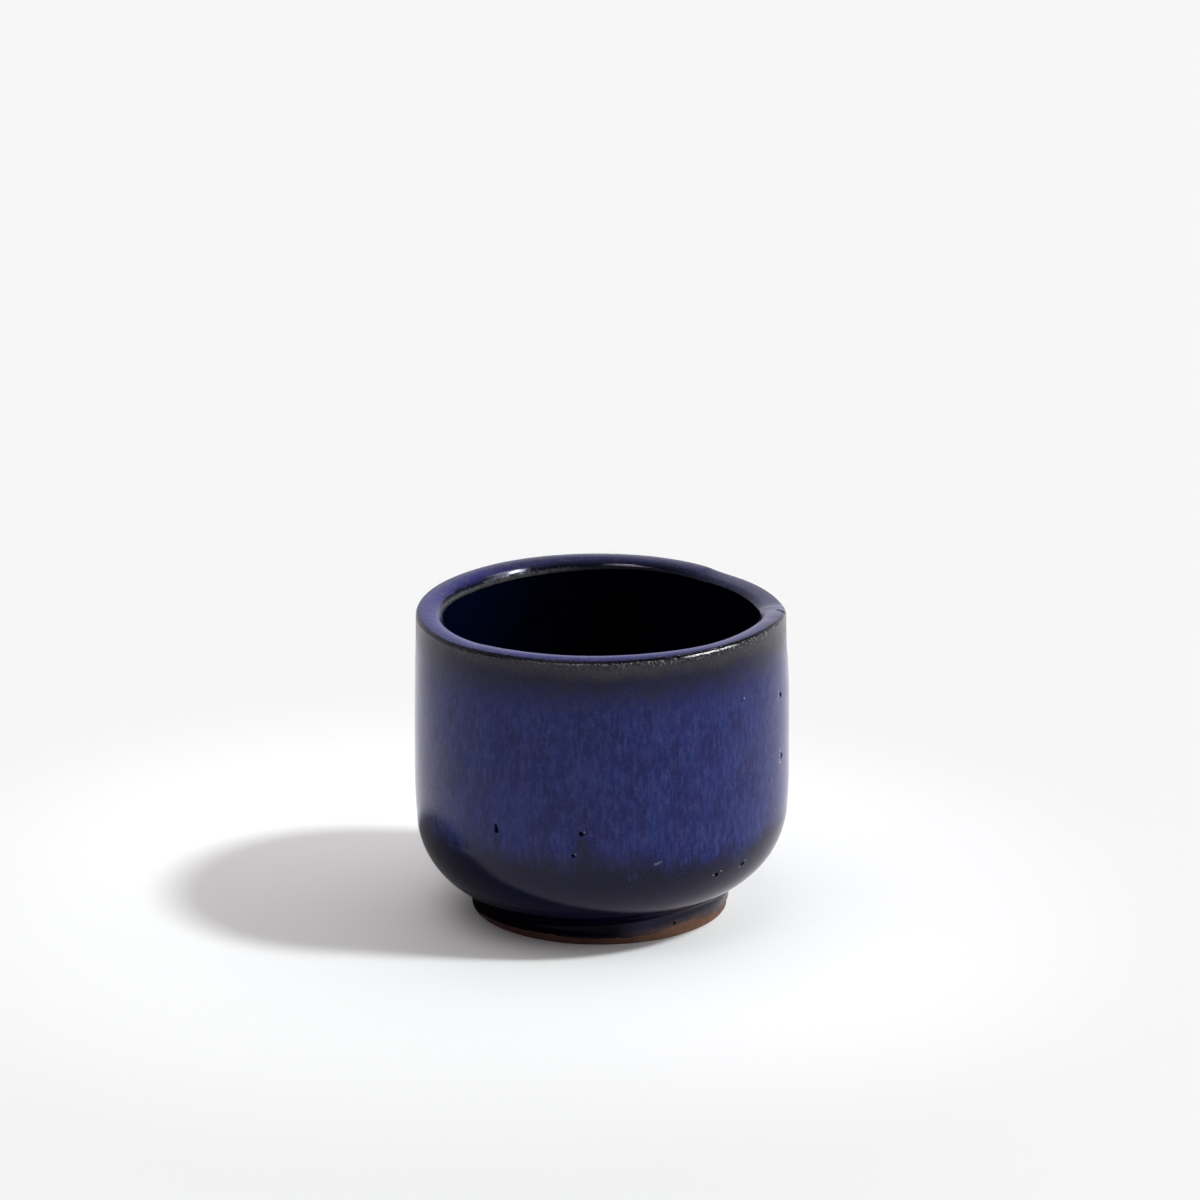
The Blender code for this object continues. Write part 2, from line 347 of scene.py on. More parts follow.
class Web:
    """A node tree under construction."""

    def __init__(self, tree):
        self.tree = tree

    def node(self, kind, settings=None, sockets=None):
        """Adds a node with its settings and the values or links of its sockets. Gives its first output."""
        node = self.tree.nodes.new(kind)
        for name, value in (settings or {}).items():
            if name == "curve":
                line = node.mapping.curves[0].points
                line[0].location = value[0]
                line[1].location = value[-1]
                for place in value[1:-1]:
                    line.new(*place)
                node.mapping.update()
            else:
                setattr(node, name, value)
        for key, value in (sockets or {}).items():
            if isinstance(value, Wire):
                self.tree.links.new(value.socket, node.inputs[key])
            else:
                node.inputs[key].default_value = value
        return Wire(self, node.outputs[0]) if node.outputs else node

    def math(self, operation, *values):
        return self.node("ShaderNodeMath", {"operation": operation}, dict(enumerate(values)))

    def vector_math(self, operation, *values):
        return self.node("ShaderNodeVectorMath", {"operation": operation}, dict(enumerate(values)))

    def split(self, vector):
        parts = self.node("ShaderNodeSeparateXYZ", {}, {0: vector})
        return parts.output("X"), parts.output("Y"), parts.output("Z")

    def smooth(self, value, low, high):
        """0 below low and 1 above high, easing between."""
        return self.node(
            "ShaderNodeMapRange",
            {"interpolation_type": "SMOOTHSTEP"},
            {"Value": value, "From Min": low, "From Max": high},
        )

    def fade(self, value, low, high):
        """1 below low and 0 above high, easing between."""
        return 1 - self.smooth(value, low, high)

    def within(self, value, rise, fall):
        """1 between two ranges, easing from 0 through the first and back to 0 through the second."""
        return self.smooth(value, *rise) * self.fade(value, *fall)

    def noise(self, vector, scale, detail=2.0, roughness=0.5, stretch=(1.0, 1.0, 1.0), shift=0.0):
        scales = [scale * amount for amount in stretch]
        spread = self.vector_math("MULTIPLY_ADD", vector, scales, (shift, shift, shift))
        sockets = {"Vector": spread, "Scale": 1.0, "Detail": detail, "Roughness": roughness}
        return self.node("ShaderNodeTexNoise", {}, sockets)

    def mix(self, factor, first, second):
        sockets = {0: factor, 6: rgba(first), 7: rgba(second)}
        blend = self.node("ShaderNodeMix", {"data_type": "RGBA"}, sockets)
        return Wire(self, blend.socket.node.outputs[2])

    def azimuth_curve(self, turn, table, low, high):
        """A value that follows a table of (degrees, value) pairs, where turn is the azimuth as 0 to 1.

        The values lie between low and high, which are the bottom and the top of the curve's own grid.
        """
        places = [((degrees + 180) / 360, (value - low) / (high - low)) for degrees, value in table]
        curve = self.node("ShaderNodeFloatCurve", {"curve": places}, {"Value": turn})
        return curve * (high - low) + low

    def named(self, name):
        return self.node("GeometryNodeInputNamedAttribute", {"data_type": "FLOAT"}, {"Name": name})

    def sample(self, geometry, value, index, kind="FLOAT"):
        sockets = {"Geometry": geometry, "Value": value, "Index": index}
        return self.node("GeometryNodeSampleIndex", {"data_type": kind}, sockets)

    def store(self, geometry, name, value):
        settings = {"data_type": "FLOAT", "domain": "POINT"}
        sockets = {"Geometry": geometry, "Name": name, "Value": value}
        return self.node("GeometryNodeStoreNamedAttribute", settings, sockets)


def rgba(colour):
    return colour if isinstance(colour, Wire) else (*colour, 1.0)


def scaled(colour, share):
    return [part * share for part in colour]


def ramp(values, start, span):
    """0 up to start, rising to 1 over a span."""
    return np.clip((np.array(values) - start) / span, 0, 1)


def arc(centre, radius, start, end, step):
    """Points of an arc, about a step apart. Angles are degrees: 0 points out, 90 up."""
    count = max(2, round(abs(radians(end - start)) * radius / step))
    angles = np.radians(np.linspace(start, end, count + 1))
    return [(centre[0] + radius * cos(angle), centre[1] + radius * sin(angle)) for angle in angles]


def flow(points, step):
    """A smooth curve through points, resampled about a step apart."""
    keys = np.array([points[0], *points, points[-1]], float)
    found = []
    for before, first, last, after in zip(keys, keys[1:], keys[2:], keys[3:]):
        count = max(1, round(np.linalg.norm(last - first) / step))
        for part in np.arange(count) / count:
            bend = (after - 3 * last + 3 * first - before) * part**3
            bend += (2 * before - 5 * first + 4 * last - after) * part**2
            found.append(tuple(first + 0.5 * ((last - before) * part + bend)))
    return found + [tuple(points[-1])]


def steps_from(place, *steps):
    """Points that stand off a place by steps out and up."""
    return [(place[0] + out, place[1] + up) for out, up in steps]


def new_tree(name, inputs, output):
    """Starts a Geometry Nodes tree with named inputs and one output."""
    tree = bpy.data.node_groups.new(name, "GeometryNodeTree")
    for label, kind in inputs.items():
        tree.interface.new_socket(label, in_out="INPUT", socket_type="NodeSocket" + kind)
    tree.interface.new_socket(output, in_out="OUTPUT", socket_type="NodeSocketGeometry")
    web = Web(tree)
    return web, web.node("NodeGroupInput")


def close_tree(web, given, output, form):
    """Ends a tree in a smooth, real mesh with the given finish."""
    form = web.node("GeometryNodeSetShadeSmooth", {}, {"Geometry": form})
    form = web.node("GeometryNodeRealizeInstances", {}, {"Geometry": form})
    form = web.node("GeometryNodeSetMaterial", {}, {"Geometry": form, "Material": given.output("Finish")})
    web.node("NodeGroupOutput", {}, {output: form})
    return web.tree


def turned_form_tree():
    """Geometry Nodes: spins a profile round Z, then puts in what the hand left uneven."""
    inputs = {"Profile": "Geometry", "Turn steps": "Int", "Height": "Float"}
    inputs |= {name: "Float" for name in UNEVEN} | {"Seed": "Int", "Finish": "Material"}
    web, given = new_tree("Turned form", inputs, "Form")
    profile = given.output("Profile")
    steps = given.output("Turn steps")
    height = given.output("Height")

    size = web.node("GeometryNodeAttributeDomainSize", {"component": "MESH"}, {"Geometry": profile})
    rows = size.output("Point Count")
    cells = {"Size X": 1.0, "Size Y": 1.0, "Vertices X": steps + 1, "Vertices Y": rows}
    grid = web.node("GeometryNodeMeshGrid", {}, cells)
    index = web.node("GeometryNodeInputIndex")
    row = index % rows
    column = (index - row) / rows
    place = web.node("GeometryNodeInputPosition")
    spun = web.node(
        "ShaderNodeVectorRotate",
        {"rotation_type": "Z_AXIS"},
        {
            "Vector": web.sample(profile, place, row, "FLOAT_VECTOR"),
            "Angle": column / steps * (2 * pi) + pi / 2,
        },
    )
    form = web.node("GeometryNodeSetPosition", {}, {"Geometry": grid, "Position": spun})
    for name in MARKS:
        form = web.store(form, name, web.sample(profile, web.named(name), row))
    form = web.node("GeometryNodeMergeByDistance", {}, {"Geometry": form, "Distance": MERGE_DISTANCE})

    x, y, z = web.split(place)
    radius = web.math("SQRT", x * x + y * y + 1e-10)
    turn = web.math("ARCTAN2", y, x) / (2 * pi) + 0.5
    near_rim = web.smooth(z, height * 0.60, height)
    near_lip = web.smooth(z, height - LIP_ZONE[0], height - LIP_ZONE[1])
    near_foot = web.fade(z, 0.0, 0.0046)
    belly = web.within(z, (0.0, 0.004), (0.015, 0.036))
    rim = web.azimuth_curve(turn, RIM_HEIGHTS, -2.0, 1.0) * MM * given.output("Rim sway")
    lean = web.azimuth_curve(turn, LIP_LEANS, -6.0, 6.0) * radians(1) * given.output("Lip lean")
    lean = lean * (radius - CREST_RADIUS) * near_lip
    bevel = web.azimuth_curve(turn, BEVEL_SHARES, 0.0, 1.0) * given.output("Lip lean") * (height - z)
    bevel = bevel * web.smooth(CREST_RADIUS - radius, -0.0002, 0.0008) * near_lip
    glaze_line = web.azimuth_curve(turn, GLAZE_LINE_HEIGHTS, -1.5, 1.5) * MM * web.named("drip")
    ring = web.node(
        "ShaderNodeCombineXYZ", {}, {"X": x / radius, "Y": y / radius, "Z": given.output("Seed")}
    )
    drift = web.noise(ring, 20.0, detail=4.0, roughness=0.7)
    lift = rim * near_rim + lean + bevel + given.output("Belly lean") * x * belly
    lift = lift + web.named("wander") * (drift - 0.5) * 4.0 + glaze_line
    right = web.math("MAXIMUM", x / radius, 0.0)
    swell = right * right * web.within(z, (0.005, 0.012), (0.046, 0.058)) * given.output("Side swell")
    waves = (web.noise(place, 45.0, detail=1.0) - 0.5) * 2.0 * given.output("Wall wave")
    shift = near_foot * given.output("Foot shift")
    moved = {
        "X": shift + swell + waves * x / radius,
        "Y": shift * FOOT_SHIFT_RATIO + waves * y / radius,
        "Z": lift,
    }
    offset = web.node("ShaderNodeCombineXYZ", {}, moved)
    form = web.node("GeometryNodeSetPosition", {}, {"Geometry": form, "Offset": offset})
    form = web.node("GeometryNodeFlipFaces", {}, {"Mesh": form})
    return close_tree(web, given, "Form", form)


def pinhole_tree():
    """Geometry Nodes: sinks a pinhole with a low rim and marks its painted shade, or marks a pale spot
    that is partly a painted glint, at each point of an object.
    """
    inputs = {"Coat": "Geometry", "Pinholes": "Object", "Depth": "Float", "Rim": "Float"}
    inputs["Finish"] = "Material"
    web, given = new_tree("Glaze pinholes", inputs, "Coat")
    holes = web.node("GeometryNodeObjectInfo", {}, {"Object": given.output("Pinholes")}).output("Geometry")
    near = web.node("GeometryNodeProximity", {"target_element": "POINTS"}, {0: holes}).output("Distance")
    nearest = web.node("GeometryNodeSampleNearest", {}, {"Geometry": holes})
    size, share = [web.sample(holes, web.named(name), nearest) for name in ("size", "share")]
    part = near / size
    sunk = web.smooth(share, -0.01, 0.01)
    hollow = web.fade(part, 0.40, 1.0) * share * sunk
    rim = web.within(part, (0.80, 1.15), (1.15, 1.8)) * sunk
    rise = rim * given.output("Rim") - hollow * given.output("Depth")
    normal = web.node("GeometryNodeInputNormal")
    offset = web.node("ShaderNodeVectorMath", {"operation": "SCALE"}, {0: normal, "Scale": rise})
    # Marks painted shade inside each hole, and pale marks that are partly painted glints.
    coat = web.store(given.output("Coat"), "pit", web.fade(part, 0.60, 0.95) * share * sunk)
    coat = web.store(coat, "bead", web.fade(part, 0.40, 1.0) * (sunk - 1) * share)
    coat = web.node("GeometryNodeSetPosition", {}, {"Geometry": coat, "Offset": offset})
    return close_tree(web, given, "Coat", coat)


def shared_tree(name, maker):
    return bpy.data.node_groups.get(name) or maker()


def run_nodes(piece, tree, values):
    """Runs a tree on an object and keeps the result as its plain mesh."""
    modifier = piece.modifiers.new(tree.name, "NODES")
    modifier.node_group = tree
    for item in tree.interface.items_tree:
        if item.in_out == "INPUT" and item.name in values:
            modifier[item.identifier] = values[item.name]
    graph = bpy.context.evaluated_depsgraph_get()
    made = bpy.data.meshes.new_from_object(piece.evaluated_get(graph))
    piece.modifiers.remove(modifier)
    piece.data = made
    made.name = piece.name


def add_object(name, data):
    made = bpy.data.objects.new(name, data)
    bpy.context.scene.collection.objects.link(made)
    return made


def add_mark(mesh, name, values):
    mesh.attributes.new(name, "FLOAT", "POINT").data.foreach_set("value", values)


def turned_piece(name, profile, closed, finish):
    """Makes a piece from a profile of rings. A closed profile ends where it starts."""
    hand = bpy.context.scene.cup_hand
    if closed:
        profile = [*profile, profile[0]]
    line = bpy.data.meshes.new(name)
    points = [(ring[0], 0.0, ring[1]) for ring in profile]
    line.from_pydata(points, [(n, n + 1) for n in range(len(points) - 1)], [])
    for column, mark in enumerate(MARKS, start=2):
        add_mark(line, mark, [ring[column] for ring in profile])
    piece = add_object(name, line)
    values = {trait: getattr(hand, trait.lower().replace(" ", "_")) for trait in UNEVEN}
    values["Turn steps"] = TURN_STEPS[name]
    values["Height"] = bpy.context.scene.cup_form.height
    values["Seed"] = hand.seed
    values["Finish"] = finish
    run_nodes(piece, shared_tree("Turned form", turned_form_tree), values)
    return piece


def rings(points, **marks):
    """Rings of (radius, height, marks) from points.

    A mark is one value, a first and last value, or one for each point.
    """
    columns = []
    for name in MARKS:
        given = np.atleast_1d(marks.get(name, 0.0))
        if len(given) == 2 and len(points) > 2:
            given = np.linspace(*given, len(points))
        columns.append(np.broadcast_to(given, len(points)))
    return [(point[0], point[1], *values) for point, *values in zip(points, *columns)]


def belly_centre(form):
    return (form.wall_radius - BELLY_STAND - form.belly_radius, form.belly_height)


def wall_line(form, inset, limit=1.0):
    """The wall below a limit, from under the lip to the belly, set in from the finished surface."""
    # Drop below the lip, and how far the wall stands in from its widest.
    shape = (
        (0.0016, TOP_STAND), (0.0075, 0.00041), (0.0115, 0.00026), (0.0200, 0.00010), (0.0285, 0.00003),
        (0.0345, 0.0), (0.0385, 0.00010), (form.height - form.belly_height, BELLY_STAND),
    )
    line = [(form.wall_radius - inset - stand, form.height - drop) for drop, stand in shape]
    return [point for point in line if point[1] < limit]


def belly_turn(form, inset, end, step):
    return arc(belly_centre(form), form.belly_radius - inset, 0, -end, step)[1:]


def foot_wall(form, height):
    """The clay foot's outer radius: it narrows a little towards the table."""
    return form.foot_radius - form.foot_taper * (1 - height / FOOT_TOP)


def outer_coat_rings(form):
    """The outer coat: top edge under the lip, wall, belly, the foot's wall, and back up inside."""
    top = form.height - COAT_DROP

    def fringe(points):
        return [np.clip(1 - (top - height) / FRINGE_DEPTH, 0, 1) for _, height in points]

    lip_edge = steps_from(
        (form.wall_radius - TOP_STAND, top),
        (-0.00040, -0.00024), (-0.00031, -0.00005), (-0.00019, 0.0), (-0.00006, -0.00009), (0.0, -0.00030),
        (0.0, -0.00060),
    )
    lip_edge = flow(lip_edge, 0.00008)
    worn = np.clip([(height - top) / 0.00022 + 1.9 for _, height in lip_edge], 0, 1)
    wall = flow(wall_line(form, 0.0), 0.00025)
    profile = rings(lip_edge, wander=-0.00015, worn=worn, fringe=fringe(lip_edge))
    profile += rings(wall[:5], wander=(-0.00010, 0.0), fringe=fringe(wall[:5]))
    profile += rings(wall[5:9], fringe=fringe(wall[5:9])) + rings(wall[9::2])
    profile += rings(belly_turn(form, 0.0, BELLY_END, 0.00050))

    low = form.glaze_line
    low_wall = foot_wall(form, low) + FOOT_COAT_LOW
    crease = [profile[-1][:2]]
    crease += steps_from(
        (form.foot_radius + FOOT_COAT, 0.0),
        (0.00048, 0.00470), (0.00014, 0.00440), (0.00002, 0.00405), (0.0, 0.0034),
    )
    crease = flow([*crease, (low_wall, low + 0.0004)], 0.00018)[1:-2]
    profile += rings(crease, drip=(0.0, 0.75), seep=(-0.3, 0.7))
    drip = steps_from(
        (low_wall, low), (0.0, 0.0005), (-0.00003, 0.0002), (-0.00010, 0.0), (-0.00018, 0.0001)
    )
    profile += rings(flow(drip, 0.00012), wander=(0.0002, 0.0003), drip=(0.8, 1.0), seep=(0.75, 1.1))
    behind = [(foot_wall(form, low) + FOOT_GAP, low + 0.0006), (form.foot_radius + FOOT_GAP, FOOT_TOP)]
    profile += rings(behind, drip=(0.8, 0.0))
    inner = belly_turn(form, form.coat, BELLY_END - 0.5, 0.0015)[::-1]
    return profile + rings(inner + wall_line(form, form.coat, top - 0.0035)[::-1])


def bends(start, side, turns, step):
    """Points (radius, height, slope in degrees) along bends that join smoothly, going out or in by side."""
    found = [(*start, turns[0][1])]
    for size, first, last in turns:
        radius, height, _ = found[-1]
        count = max(2, round(size * radians(last - first) / step))
        for slope in np.linspace(first, last, count + 1)[1:]:
            out = size * (sin(radians(slope)) - sin(radians(first)))
            down = size * (cos(radians(first)) - cos(radians(slope)))
            found.append((radius + side * out, height - down, slope))
    return found


def lip_coat_rings(form):
    """The coat over the lip: its pale inner edge, the crest, its worn outer edge, and back below."""
    crest = (CREST_RADIUS, form.height)
    inner = bends(crest, -1, LIP_INNER_BENDS, 0.00014)
    outer = bends(crest, 1, LIP_OUTER_BENDS, 0.00012)
    turned_in = steps_from(inner[-1][:2], (0.0003, -0.0001), (0.0001, -0.0001))
    profile = rings(turned_in, pale=1.0, bevel=1.0)
    slopes = [slope for _, _, slope in inner[::-1]]
    profile += rings(
        inner[::-1],
        wander=0.0001 * ramp(slopes, 60, 30),
        pale=ramp(slopes, 44, 22),
        bevel=ramp(slopes, 22, 36),
    )
    slopes = [slope for _, _, slope in outer[1:]]
    profile += rings(outer[1:], wander=0.00014 * ramp(slopes, 45, 40), worn=ramp(slopes, 25, 45))
    under = steps_from(outer[-1][:2], (-0.00008, -0.00012), (-0.0003, -0.0001))
    profile += rings(under, wander=0.00014, worn=1.0)
    coat = form.coat * LIP_COAT_SHARE
    back = []
    for points, side in ((outer[:2:-3], 1), (inner[::3], -1)):
        for radius, height, slope in points:
            back.append((radius - side * coat * sin(radians(slope)), height - coat * cos(radians(slope))))
    return profile + rings(back)


def liner_rings(form):
    """The coat inside: the floor, the turn, the wall up to the lip's inner edge, and back down outside."""
    wall = form.mouth_radius + 0.0001
    centre = (wall - LINER_TURN, form.floor_height + LINER_TURN)
    top = form.height - 0.0020
    depth = 0.0004
    floor = [(wall * part, form.floor_height) for part in (0.0, 0.1, 0.25, 0.4, 0.55)]
    profile = rings(floor + arc(centre, LINER_TURN, -90, 0, 0.0008))
    profile += rings(flow([(wall, centre[1] + 0.001), (wall, MID_HEIGHT), (wall, top - 0.001)], 0.0009))
    edge = steps_from((wall, top), (0.0, -0.0004), (0.00006, -0.0001), (0.0002, 0.0), (0.00035, -0.0002))
    profile += rings(flow(edge, 0.00015), wander=0.0001, pale=(0.3, 0.6))
    outer = wall + form.coat - COAT_GAP
    back = [(outer, top - 0.001), (outer, centre[1])] + arc(centre, LINER_TURN + depth, -10, -90, 0.002)
    back += [(0.012, form.floor_height - depth), (0.0, form.floor_height - depth)]
    return profile + rings(back)


def clay_body_rings(form):
    """The thrown clay, under the coats: inside, lip, wall, belly, and the turned underside."""
    inner = form.mouth_radius + form.coat + COAT_GAP
    outer = form.wall_radius - 2 * form.coat - COAT_GAP
    floor = form.floor_height - 0.0006
    top = form.height
    points = [(0.0, floor), (0.010, floor)]
    points += arc((inner - CLAY_TURN, floor + CLAY_TURN), CLAY_TURN, -90, 0, 0.002)
    points += [(inner, MID_HEIGHT), (inner, top - 0.0026)]
    lip = steps_from(
        (inner, top),
        (0.0, -0.0022), (0.0002, -0.0017), (0.0008, -0.00112), (0.0016, -0.00080), (0.0026, -0.00066),
    )
    lip += steps_from(
        (outer, top), (-0.0006, -0.00074), (-0.00018, -0.00092), (-0.00004, -0.00130), (0.0, -0.0018)
    )
    points += flow(lip, 0.00018) + wall_line(form, form.coat + COAT_GAP, top - 0.004)
    points += belly_turn(form, form.coat + 0.0001, 89.0, 0.0015)
    start, under = points[-1]
    for radius in np.linspace(start, 0.0, 90)[1:-1]:
        points.append((radius, under + TURNING_DEPTH * sin(radius / TURNING_STEP * 2 * pi)))
    return rings([*points, (0.0, under)])


def clay_foot_rings(form):
    """The foot's ring: its top under the belly, outer wall, the flat that it stands on, and inner wall."""
    centre = belly_centre(form)
    reach = form.belly_radius - form.coat + FOOT_GAP
    inner = form.foot_radius - form.foot_width
    low = foot_wall(form, FOOT_ROUND)
    points = []
    for radius in np.linspace(inner, form.foot_radius, 9):
        points.append((radius, centre[1] - (reach**2 - max(0.0, radius - centre[0]) ** 2) ** 0.5))
    points += flow([(form.foot_radius, 0.0043), (foot_wall(form, 0.0012), 0.0012)], 0.0003)
    points += arc((low - FOOT_ROUND, FOOT_ROUND), FOOT_ROUND, 0, -90, 0.00008)
    points += flow([(low - 0.0012, 0.0), (inner + 0.0012, 0.0)], 0.0004)
    points += arc((inner + FOOT_ROUND, FOOT_ROUND), FOOT_ROUND, -90, -180, 0.0001)
    return rings([*points, (inner, 0.0018)])


def new_material(name, ior):
    """A new material, its tree and its shader, with the place on the piece that its patterns follow."""
    material = bpy.data.materials.new(name)
    material.use_nodes = True
    shader = material.node_tree.nodes["Principled BSDF"]
    shader.inputs["IOR"].default_value = ior
    web = Web(material.node_tree)
    return material, web, shader, web.node("ShaderNodeTexCoord").output("Object")


def feed(web, shader, socket, wire):
    web.tree.links.new(wire.socket, shader.inputs[socket])


def dress(web, shader, colour, roughness, height, strength, distance):
    """Feeds a finish its colour, its roughness and the height of its bumps."""
    raised = web.node("ShaderNodeBump", {}, {"Height": height, "Strength": strength, "Distance": distance})
    for socket, wire in (("Base Color", colour), ("Roughness", roughness), ("Normal", raised)):
        feed(web, shader, socket, wire)


def mark_of(web, name):
    return web.node("ShaderNodeAttribute", {"attribute_name": name}).output("Fac")


def hollow_out(web, shader, colour, shade_and_break):
    """Makes a finish dull and dark where the mask is 1: painted shade, and dark breaks in the glaze."""
    dull = {"Base Color": rgba(colour), "Roughness": 1.0, "Specular IOR Level": 0.0}
    dark = web.node("ShaderNodeBsdfPrincipled", {}, dull)
    mixed = web.node("ShaderNodeMixShader", {}, {0: shade_and_break, 1: Wire(web, shader.outputs[0]), 2: dark})
    feed(web, web.tree.nodes["Material Output"], "Surface", mixed)


def outer_glaze(glaze):
    """Blue that streaks over a near-black first coat, grey under the lip and parted below pinholes."""
    material, web, shader, place = new_material("streaked_blue_glaze", 1.358)
    shader.inputs["Specular Tint"].default_value = rgba(glaze.sheen)
    x, y, z = web.split(place)
    azimuth = web.math("ARCTAN2", y, x)
    fur = web.noise(place, 1300.0, detail=4.0, roughness=0.62, stretch=(1.0, 1.0, 0.31))
    grit = web.noise(place, 2600.0, detail=3.0, roughness=0.65, shift=31.0)
    patches = web.noise(place, 230.0, detail=3.0, roughness=0.6, stretch=(1.0, 1.0, 0.45), shift=7.0)
    tint = web.noise(place, 330.0, detail=3.0, roughness=0.6, stretch=(1.0, 1.0, 0.45), shift=23.0)
    clouds = web.noise(place, 60.0, shift=13.0)
    flecks = web.noise(place, 3000.0, detail=3.0, roughness=0.7, shift=19.0)
    dots = web.noise(place, 2300.0, roughness=0.6, shift=41.0)
    peel = web.noise(place, 420.0, shift=3.0)

    # How much of the blue coat lies over the first one: less under the lip, on the belly and below pinholes.
    thin = web.smooth(z.stir(fur, 0.009).stir(patches, 0.010), 0.0500, 0.0596)
    low_edge = web.azimuth_curve(azimuth / (2 * pi) + 0.5, BLUE_EDGE_HEIGHTS, 15.0, 25.0) * MM
    dip = web.smooth((z - low_edge).stir(fur, 0.0006).stir(patches, 0.007), -0.0032, 0.0034)
    for degrees, height in PARTINGS:
        fall = height * MM - z
        spread = (abs(azimuth - radians(degrees)) * 0.037 - fall * 0.16).stir(patches, 0.0012)
        gone = web.fade(spread, -0.0002, 0.0012) * web.smooth(fall, 0.0, 0.0015)
        dip = dip * (1 - gone * 0.55)

    blue = web.mix(web.smooth(fur * 0.25 + patches * 0.75, 0.38, 0.60), glaze.deep_blue, glaze.blue)
    blue = web.mix(web.smooth(tint, 0.46, 0.66) * 0.5, blue, glaze.purple)
    pale_streak = ((fur - 0.5) * 2.9).stir(grit, 1.9).stir(patches, 0.8) + 0.21
    blue = web.mix(pale_streak, blue, glaze.pale_blue)
    base = web.mix(web.smooth(clouds * 0.5 + patches * 0.5, 0.35, 0.65), scaled(glaze.base, 0.6), glaze.base)
    base = web.mix(((grit - 0.5) * 0.6).stir(fur, 0.6) + 0.08, base, glaze.grey)
    trail_gap = abs(azimuth - radians(TRAIL_DEGREES)) * 0.035 + abs(z - TRAIL_HEIGHT) * 0.7
    trail = web.smooth(fur, 0.42, 0.62) * web.fade(trail_gap, 0.0006, 0.0022)
    base = web.mix(trail * 0.32, base, glaze.pale_blue)
    centre = web.fade(abs(x - 0.004), 0.003, 0.016) * web.smooth(0.0 - y, 0.0, 0.03)
    pale_grain = ((grit - 0.5) * 1.2).stir(fur, 1.0) + centre * 0.30 + 0.05
    band = web.mix(pale_grain, glaze.band, scaled(glaze.band, 2.0))
    base = web.mix(web.smooth(z.stir(patches, 0.003), 0.0575, 0.0612), base, band)
    colour = web.mix(dip * (1 - thin), base, blue)

    # The worn top edge: dark, scarred, with pale specks, and a highlight painted near white to the right.
    worn = web.smooth(mark_of(web, "worn").stir(grit, 1.4), 0.40, 0.70)
    scars = web.smooth(patches * 0.5 + grit * 0.5, 0.57, 0.62) * web.smooth(z, 0.0600, 0.0612)
    colour = web.mix(web.math("MAXIMUM", worn, scars) * 0.9, colour, glaze.edge)
    specks = web.smooth(flecks, 0.43, 0.55) * web.smooth(x, -0.022, -0.006) * 0.45
    colour = web.mix(worn * specks, colour, glaze.speck_and_glint)
    to_right = web.smooth(x, -0.004, 0.016)
    zone = mark_of(web, "fringe") * (0.55 + to_right * 0.45)
    dark_dots = web.smooth(dots + zone * 0.20, 0.61, 0.66) * web.smooth(zone, 0.05, 0.30)
    pale_dots = web.smooth(zone * 0.12 - dots, -0.37, -0.30) * web.smooth(zone, 0.05, 0.30)
    colour = web.mix(dark_dots * (0.65 + to_right * 0.25), colour, glaze.edge)
    colour = web.mix(pale_dots * (0.12 + to_right * 0.16), colour, glaze.speck_and_glint)
    # Painted highlight: near-white colour laid on the worn edge where the main light would glint.
    painted_glint = web.smooth(flecks, 0.43, 0.51) * web.fade(abs(azimuth - radians(PAINTED_GLINT_DEGREES)), 0.10, 0.20)
    colour = web.mix(worn * painted_glint, colour, glaze.painted_glint)

    # The foot, where the glaze thins to the clay, and the pale marks beside pinholes, which are partly
    # pale flecks and partly painted glints.
    seep = web.smooth(mark_of(web, "seep").stir(grit, 0.7).stir(patches, 0.7), 0.35, 1.0)
    seep = seep * web.smooth(x, -0.002, 0.014)
    colour = web.mix(seep * 0.85, colour, glaze.thin_foot)
    colour = web.mix(mark_of(web, "bead"), colour, glaze.speck_and_glint)
    gloss = (0.07 + dip * 0.06 + thin * 0.14).stir(grit, 0.05) - worn * 0.14 + seep * 0.3
    height = peel * 0.6 + fur * 0.35 + grit * 0.15 + worn * grit * 0.5
    dress(web, shader, colour, gloss, height, 0.12, 0.0004)
    # Painted shade: the foot's glaze is made black and dull on the left, the side away from the main light.
    painted_foot_shade = web.fade(z, 0.0036, 0.0050) * web.fade(x, 0.002, 0.009) * 0.82
    hollow_out(web, shader, glaze.shade_and_break, web.math("MAXIMUM", mark_of(web, "pit"), painted_foot_shade))
    return material


